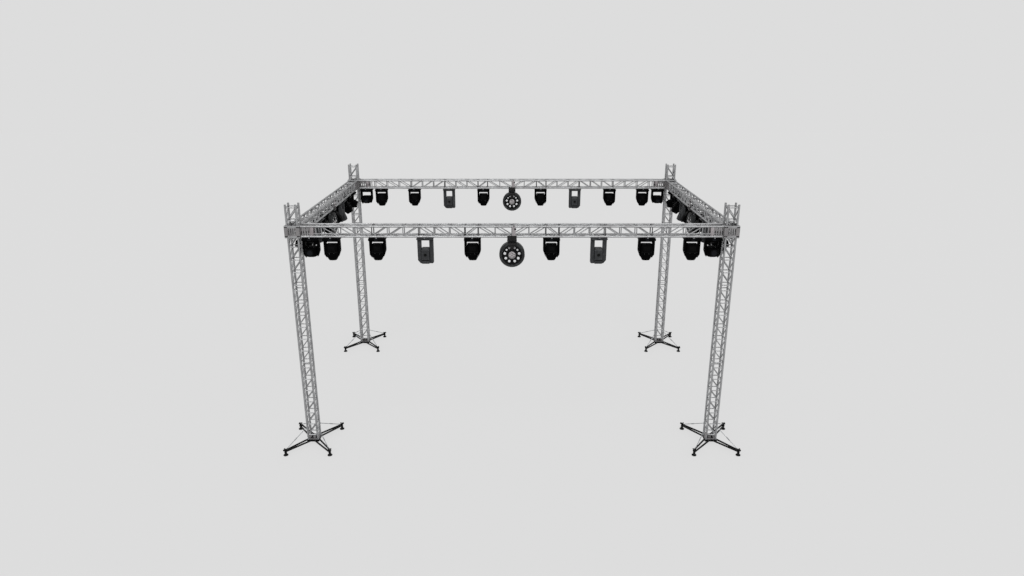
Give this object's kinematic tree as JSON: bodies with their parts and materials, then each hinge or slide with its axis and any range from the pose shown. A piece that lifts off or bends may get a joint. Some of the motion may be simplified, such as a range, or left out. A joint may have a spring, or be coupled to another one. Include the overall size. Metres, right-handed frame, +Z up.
{
  "type": "stage truss",
  "caption": "Rectangular ground-support lighting truss: a box-truss grid rides on sleeve blocks up lattice towers with outrigger bases, hung with tilting and panning lights.",
  "frame": {"origin": "on the floor in the middle of the rig, halfway between all four towers", "axes": "+X to the right along the front beam, +Y from the front beam to the rear beam, +Z up the towers"},
  "size_m": [11.4328, 7.99, 6.23],
  "materials": {
    "truss_aluminium": "mill-finish welded tube, satin, lightly scuffed",
    "base_black": "black powder coat on steel, worn at the edges",
    "spot_black": "black textured moulded housing",
    "wash_grey": "dark grey textured moulded housing",
    "round_black": "dark housing with white lamps behind clear lenses"
  },
  "bodies": {
    "towers": {"base_front_left": "base_black", "mast_front_left": "truss_aluminium", "base_front_right": "base_black", "mast_front_right": "truss_aluminium", "base_rear_left": "base_black", "mast_rear_left": "truss_aluminium", "base_rear_right": "base_black", "mast_rear_right": "truss_aluminium"},
    "grid": {"sleeve_block_front_left": "truss_aluminium", "sleeve_block_front_right": "truss_aluminium", "sleeve_block_rear_left": "truss_aluminium", "sleeve_block_rear_right": "truss_aluminium", "beam_front": "truss_aluminium", "beam_rear": "truss_aluminium", "beam_left": "truss_aluminium", "beam_right": "truss_aluminium"},
    "yoke_front_4": {"yoke_front_4": "wash_grey"},
    "yoke_front_5": {"yoke_front_5": "spot_black"},
    "yoke_front_7": {"yoke_front_7": "spot_black"},
    "yoke_front_8": {"yoke_front_8": "wash_grey"},
    "head_front_1": {"head_front_1": "spot_black"},
    "head_front_2": {"head_front_2": "spot_black"},
    "head_front_3": {"head_front_3": "spot_black"},
    "head_front_4": {"head_front_4": "wash_grey"},
    "head_front_5": {"head_front_5": "spot_black"},
    "head_front_6": {"head_front_6": "round_black"},
    "head_front_7": {"head_front_7": "spot_black"},
    "head_front_8": {"head_front_8": "wash_grey"},
    "head_front_9": {"head_front_9": "spot_black"},
    "head_front_10": {"head_front_10": "spot_black"},
    "head_front_11": {"head_front_11": "spot_black"},
    "head_rear_1": {"head_rear_1": "spot_black"},
    "head_rear_2": {"head_rear_2": "spot_black"},
    "head_rear_3": {"head_rear_3": "spot_black"},
    "head_rear_4": {"head_rear_4": "wash_grey"},
    "head_rear_5": {"head_rear_5": "spot_black"},
    "head_rear_6": {"head_rear_6": "round_black"},
    "head_rear_7": {"head_rear_7": "spot_black"},
    "head_rear_8": {"head_rear_8": "wash_grey"},
    "head_rear_9": {"head_rear_9": "spot_black"},
    "head_rear_10": {"head_rear_10": "spot_black"},
    "head_rear_11": {"head_rear_11": "spot_black"},
    "head_left_1": {"head_left_1": "spot_black"},
    "head_left_2": {"head_left_2": "spot_black"},
    "head_left_3": {"head_left_3": "wash_grey"},
    "head_left_4": {"head_left_4": "spot_black"},
    "head_left_5": {"head_left_5": "round_black"},
    "head_left_6": {"head_left_6": "spot_black"},
    "head_left_7": {"head_left_7": "wash_grey"},
    "head_left_8": {"head_left_8": "spot_black"},
    "head_left_9": {"head_left_9": "spot_black"},
    "head_right_1": {"head_right_1": "spot_black"},
    "head_right_2": {"head_right_2": "spot_black"},
    "head_right_3": {"head_right_3": "wash_grey"},
    "head_right_4": {"head_right_4": "spot_black"},
    "head_right_5": {"head_right_5": "round_black"},
    "head_right_6": {"head_right_6": "spot_black"},
    "head_right_7": {"head_right_7": "wash_grey"},
    "head_right_8": {"head_right_8": "spot_black"},
    "head_right_9": {"head_right_9": "spot_black"}
  },
  "joints": [
    {"name": "grid_lift", "type": "slide", "parent": "towers", "child": "grid", "axis": [0, 0, 1], "range_m": [-4.3, 0.3]},
    {"name": "pan_front_4", "type": "hinge", "parent": "grid", "child": "yoke_front_4", "pos_m": [-2.0385, -3.28, 5.35], "axis": [0, 0, 1], "range_deg": [-270, 270]},
    {"name": "pan_front_5", "type": "hinge", "parent": "grid", "child": "yoke_front_5", "pos_m": [-0.927, -3.28, 5.35], "axis": [0, 0, 1], "range_deg": [-270, 270]},
    {"name": "pan_front_7", "type": "hinge", "parent": "grid", "child": "yoke_front_7", "pos_m": [0.927, -3.28, 5.35], "axis": [0, 0, 1], "range_deg": [-270, 270]},
    {"name": "pan_front_8", "type": "hinge", "parent": "grid", "child": "yoke_front_8", "pos_m": [2.0385, -3.28, 5.35], "axis": [0, 0, 1], "range_deg": [-270, 270]},
    {"name": "tilt_front_1", "type": "hinge", "parent": "grid", "child": "head_front_1", "pos_m": [-4.723, -3.28, 5.1], "axis": [-1, 0, 0], "range_deg": [-225, 45]},
    {"name": "tilt_front_2", "type": "hinge", "parent": "grid", "child": "head_front_2", "pos_m": [-4.2345, -3.28, 5.1], "axis": [-1, 0, 0], "range_deg": [-135, 135]},
    {"name": "tilt_front_3", "type": "hinge", "parent": "grid", "child": "head_front_3", "pos_m": [-3.1635, -3.28, 5.1], "axis": [-1, 0, 0], "range_deg": [-135, 135]},
    {"name": "tilt_front_4", "type": "hinge", "parent": "yoke_front_4", "child": "head_front_4", "pos_m": [-2.0385, -3.28, 5], "axis": [-1, 0, 0], "range_deg": [-135, 135]},
    {"name": "tilt_front_5", "type": "hinge", "parent": "yoke_front_5", "child": "head_front_5", "pos_m": [-0.927, -3.28, 5.1], "axis": [-1, 0, 0], "range_deg": [-135, 135]},
    {"name": "tilt_front_6", "type": "hinge", "parent": "grid", "child": "head_front_6", "pos_m": [0, -3.28, 5.36], "axis": [-1, 0, 0], "range_deg": [-45, 45]},
    {"name": "tilt_front_7", "type": "hinge", "parent": "yoke_front_7", "child": "head_front_7", "pos_m": [0.927, -3.28, 5.1], "axis": [-1, 0, 0], "range_deg": [-135, 135]},
    {"name": "tilt_front_8", "type": "hinge", "parent": "yoke_front_8", "child": "head_front_8", "pos_m": [2.0385, -3.28, 5], "axis": [-1, 0, 0], "range_deg": [-135, 135]},
    {"name": "tilt_front_9", "type": "hinge", "parent": "grid", "child": "head_front_9", "pos_m": [3.1635, -3.28, 5.1], "axis": [-1, 0, 0], "range_deg": [-135, 135]},
    {"name": "tilt_front_10", "type": "hinge", "parent": "grid", "child": "head_front_10", "pos_m": [4.2345, -3.28, 5.1], "axis": [-1, 0, 0], "range_deg": [-135, 135]},
    {"name": "tilt_front_11", "type": "hinge", "parent": "grid", "child": "head_front_11", "pos_m": [4.723, -3.28, 5.1], "axis": [-1, 0, 0], "range_deg": [-225, 45]},
    {"name": "tilt_rear_1", "type": "hinge", "parent": "grid", "child": "head_rear_1", "pos_m": [-4.723, 3.28, 5.1], "axis": [-1, 0, 0], "range_deg": [-225, 45]},
    {"name": "tilt_rear_2", "type": "hinge", "parent": "grid", "child": "head_rear_2", "pos_m": [-4.2345, 3.28, 5.1], "axis": [-1, 0, 0], "range_deg": [-135, 135]},
    {"name": "tilt_rear_3", "type": "hinge", "parent": "grid", "child": "head_rear_3", "pos_m": [-3.1635, 3.28, 5.1], "axis": [-1, 0, 0], "range_deg": [-135, 135]},
    {"name": "tilt_rear_4", "type": "hinge", "parent": "grid", "child": "head_rear_4", "pos_m": [-2.0385, 3.28, 5], "axis": [-1, 0, 0], "range_deg": [-135, 135]},
    {"name": "tilt_rear_5", "type": "hinge", "parent": "grid", "child": "head_rear_5", "pos_m": [-0.927, 3.28, 5.1], "axis": [-1, 0, 0], "range_deg": [-135, 135]},
    {"name": "tilt_rear_6", "type": "hinge", "parent": "grid", "child": "head_rear_6", "pos_m": [0, 3.28, 5.36], "axis": [-1, 0, 0], "range_deg": [-45, 45]},
    {"name": "tilt_rear_7", "type": "hinge", "parent": "grid", "child": "head_rear_7", "pos_m": [0.927, 3.28, 5.1], "axis": [-1, 0, 0], "range_deg": [-135, 135]},
    {"name": "tilt_rear_8", "type": "hinge", "parent": "grid", "child": "head_rear_8", "pos_m": [2.0385, 3.28, 5], "axis": [-1, 0, 0], "range_deg": [-135, 135]},
    {"name": "tilt_rear_9", "type": "hinge", "parent": "grid", "child": "head_rear_9", "pos_m": [3.1635, 3.28, 5.1], "axis": [-1, 0, 0], "range_deg": [-135, 135]},
    {"name": "tilt_rear_10", "type": "hinge", "parent": "grid", "child": "head_rear_10", "pos_m": [4.2345, 3.28, 5.1], "axis": [-1, 0, 0], "range_deg": [-135, 135]},
    {"name": "tilt_rear_11", "type": "hinge", "parent": "grid", "child": "head_rear_11", "pos_m": [4.723, 3.28, 5.1], "axis": [-1, 0, 0], "range_deg": [-225, 45]},
    {"name": "tilt_left_1", "type": "hinge", "parent": "grid", "child": "head_left_1", "pos_m": [-5.1, -2.62372, 5.1], "axis": [0, -1, 0], "range_deg": [-210, 60]},
    {"name": "tilt_left_2", "type": "hinge", "parent": "grid", "child": "head_left_2", "pos_m": [-5.1, -2.00196, 5.1], "axis": [0, -1, 0], "range_deg": [-165, 105]},
    {"name": "tilt_left_3", "type": "hinge", "parent": "grid", "child": "head_left_3", "pos_m": [-5.1, -1.2998, 5], "axis": [0, -1, 0], "range_deg": [-155, 115]},
    {"name": "tilt_left_4", "type": "hinge", "parent": "grid", "child": "head_left_4", "pos_m": [-5.1, -0.5896, 5.1], "axis": [0, -1, 0], "range_deg": [-175, 95]},
    {"name": "tilt_left_5", "type": "hinge", "parent": "grid", "child": "head_left_5", "pos_m": [-5.1, 0, 5.36], "axis": [0, -1, 0], "range_deg": [-45, 45]},
    {"name": "tilt_left_6", "type": "hinge", "parent": "grid", "child": "head_left_6", "pos_m": [-5.1, 0.5896, 5.1], "axis": [0, -1, 0], "range_deg": [-175, 95]},
    {"name": "tilt_left_7", "type": "hinge", "parent": "grid", "child": "head_left_7", "pos_m": [-5.1, 1.2998, 5], "axis": [0, -1, 0], "range_deg": [-155, 115]},
    {"name": "tilt_left_8", "type": "hinge", "parent": "grid", "child": "head_left_8", "pos_m": [-5.1, 2.00196, 5.1], "axis": [0, -1, 0], "range_deg": [-165, 105]},
    {"name": "tilt_left_9", "type": "hinge", "parent": "grid", "child": "head_left_9", "pos_m": [-5.1, 2.62372, 5.1], "axis": [0, -1, 0], "range_deg": [-210, 60]},
    {"name": "tilt_right_1", "type": "hinge", "parent": "grid", "child": "head_right_1", "pos_m": [5.1, -2.62372, 5.1], "axis": [0, 1, 0], "range_deg": [-210, 60]},
    {"name": "tilt_right_2", "type": "hinge", "parent": "grid", "child": "head_right_2", "pos_m": [5.1, -2.00196, 5.1], "axis": [0, 1, 0], "range_deg": [-165, 105]},
    {"name": "tilt_right_3", "type": "hinge", "parent": "grid", "child": "head_right_3", "pos_m": [5.1, -1.2998, 5], "axis": [0, 1, 0], "range_deg": [-155, 115]},
    {"name": "tilt_right_4", "type": "hinge", "parent": "grid", "child": "head_right_4", "pos_m": [5.1, -0.5896, 5.1], "axis": [0, 1, 0], "range_deg": [-175, 95]},
    {"name": "tilt_right_5", "type": "hinge", "parent": "grid", "child": "head_right_5", "pos_m": [5.1, 0, 5.36], "axis": [0, 1, 0], "range_deg": [-45, 45]},
    {"name": "tilt_right_6", "type": "hinge", "parent": "grid", "child": "head_right_6", "pos_m": [5.1, 0.5896, 5.1], "axis": [0, 1, 0], "range_deg": [-175, 95]},
    {"name": "tilt_right_7", "type": "hinge", "parent": "grid", "child": "head_right_7", "pos_m": [5.1, 1.2998, 5], "axis": [0, 1, 0], "range_deg": [-155, 115]},
    {"name": "tilt_right_8", "type": "hinge", "parent": "grid", "child": "head_right_8", "pos_m": [5.1, 2.00196, 5.1], "axis": [0, 1, 0], "range_deg": [-165, 105]},
    {"name": "tilt_right_9", "type": "hinge", "parent": "grid", "child": "head_right_9", "pos_m": [5.1, 2.62372, 5.1], "axis": [0, 1, 0], "range_deg": [-210, 60]}
  ]
}
